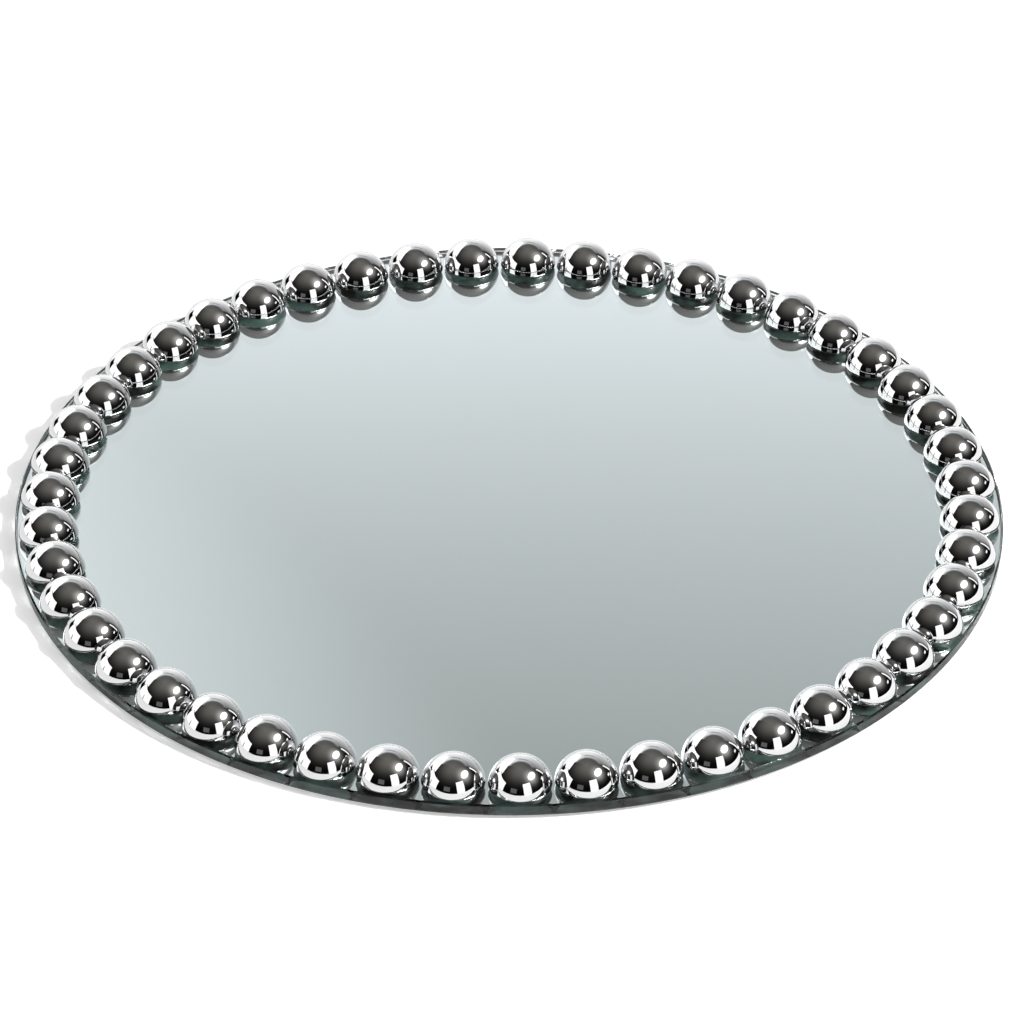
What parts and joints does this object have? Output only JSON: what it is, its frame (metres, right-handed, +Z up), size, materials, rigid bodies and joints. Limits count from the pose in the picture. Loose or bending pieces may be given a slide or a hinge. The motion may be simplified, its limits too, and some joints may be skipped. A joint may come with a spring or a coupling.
{
  "type": "mirror tray",
  "caption": "Round mirror tray: a silvered glass plate on a thin felt base, ringed by domed chrome beads, for standing candles, bottles or jewellery on.",
  "frame": {"origin": "centre of the underside of the felt base, on the table", "axes": "+Z up out of the mirror, -Y towards the front, where bead 01 stands, +X to the right"},
  "size_m": [0.33, 0.33, 0.0144],
  "materials": {
    "plate_glass": "clear float glass with a faint green edge, polished",
    "silver_coat": "mirror silvering behind the glass",
    "back_paint": "matt grey protective paint",
    "base_felt": "short-haired black felt",
    "bead_chrome": "bright chrome plating"
  },
  "bodies": {
    "root": {"mirror_glass": "plate_glass", "silver_layer": "silver_coat", "backing_paint": "back_paint", "felt_base": "base_felt", "half_bead_01": "bead_chrome", "half_bead_02": "bead_chrome", "half_bead_03": "bead_chrome", "half_bead_04": "bead_chrome", "half_bead_05": "bead_chrome", "half_bead_06": "bead_chrome", "half_bead_07": "bead_chrome", "half_bead_08": "bead_chrome", "half_bead_09": "bead_chrome", "half_bead_10": "bead_chrome", "half_bead_11": "bead_chrome", "half_bead_12": "bead_chrome", "half_bead_13": "bead_chrome", "half_bead_14": "bead_chrome", "half_bead_15": "bead_chrome", "half_bead_16": "bead_chrome", "half_bead_17": "bead_chrome", "half_bead_18": "bead_chrome", "half_bead_19": "bead_chrome", "half_bead_20": "bead_chrome", "half_bead_21": "bead_chrome", "half_bead_22": "bead_chrome", "half_bead_23": "bead_chrome", "half_bead_24": "bead_chrome", "half_bead_25": "bead_chrome", "half_bead_26": "bead_chrome", "half_bead_27": "bead_chrome", "half_bead_28": "bead_chrome", "half_bead_29": "bead_chrome", "half_bead_30": "bead_chrome", "half_bead_31": "bead_chrome", "half_bead_32": "bead_chrome", "half_bead_33": "bead_chrome", "half_bead_34": "bead_chrome", "half_bead_35": "bead_chrome", "half_bead_36": "bead_chrome", "half_bead_37": "bead_chrome", "half_bead_38": "bead_chrome", "half_bead_39": "bead_chrome", "half_bead_40": "bead_chrome", "half_bead_41": "bead_chrome", "half_bead_42": "bead_chrome", "half_bead_43": "bead_chrome", "half_bead_44": "bead_chrome", "half_bead_45": "bead_chrome", "half_bead_46": "bead_chrome", "half_bead_47": "bead_chrome"}
  },
  "joints": []
}
